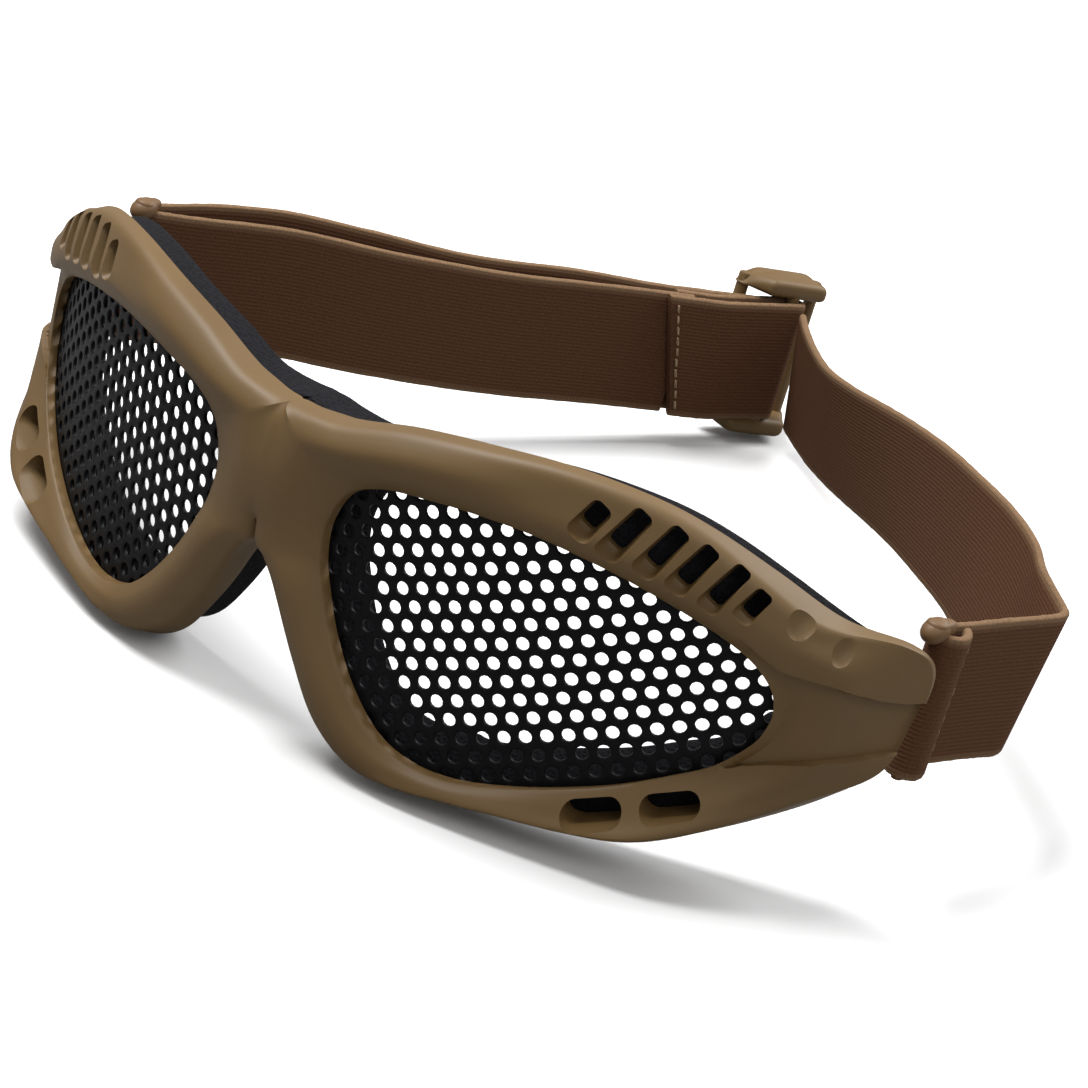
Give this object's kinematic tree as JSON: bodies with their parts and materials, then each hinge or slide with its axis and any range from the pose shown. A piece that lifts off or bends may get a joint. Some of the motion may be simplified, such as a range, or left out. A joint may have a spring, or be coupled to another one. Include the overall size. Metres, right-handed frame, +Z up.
{
  "type": "tactical goggles",
  "caption": "Tactical goggles: a tan moulded frame with perforated black lenses, foam gasket and an elastic head strap with a sliding buckle.",
  "frame": {"origin": "bottom centre of the box round the whole part, standing on its lower rim and on the buckle", "axes": "+X is the wearer's left, +Y points back along the head strap, +Z is up"},
  "size_m": [0.19, 0.2062, 0.0614],
  "materials": {
    "tan_plastic": "satin moulded",
    "mesh": "black painted perforated steel",
    "foam": "matte foam",
    "webbing": "woven elastic",
    "thread": "sewing thread"
  },
  "bodies": {
    "goggles": {"frame": "tan_plastic", "lens_left": "mesh", "lens_right": "mesh", "foam_gasket": "foam", "strap_loop_left": "tan_plastic", "strap_loop_right": "tan_plastic"},
    "left_strap": {"strap_left_side": "webbing", "stitches_left": "thread"},
    "back_strap": {"strap_back": "webbing"},
    "right_strap": {"strap_right_outer": "webbing", "strap_right_inner": "webbing"},
    "buckle": {"slider": "tan_plastic", "strap_fold_end": "webbing", "stitches_fold": "thread"}
  },
  "joints": [
    {"name": "left_strap_swing", "type": "hinge", "parent": "goggles", "child": "left_strap", "pos_m": [0.0905, -0.04096, 0.0319], "axis": [0, 0.1127, 0.9936], "range_deg": [-10, 10]},
    {"name": "strap_crease", "type": "hinge", "parent": "left_strap", "child": "back_strap", "pos_m": [0.0915, -0.00917, 0.02829], "axis": [0, 0.1127, 0.9936], "range_deg": [-12, 12]},
    {"name": "right_strap_swing", "type": "hinge", "parent": "goggles", "child": "right_strap", "pos_m": [-0.0905, -0.04096, 0.0319], "axis": [0, 0.1127, 0.9936], "range_deg": [-2.5, 2.5]},
    {"name": "buckle_slide", "type": "slide", "parent": "right_strap", "child": "buckle", "axis": [-0.3761, -0.9211, 0.1004], "range_m": [0, 0.02]}
  ],
  "couplings": [
    {"joint": "strap_crease", "follows": "left_strap_swing", "ratio": -1.0709},
    {"joint": "right_strap_swing", "follows": "left_strap_swing", "ratio": 0.182}
  ]
}
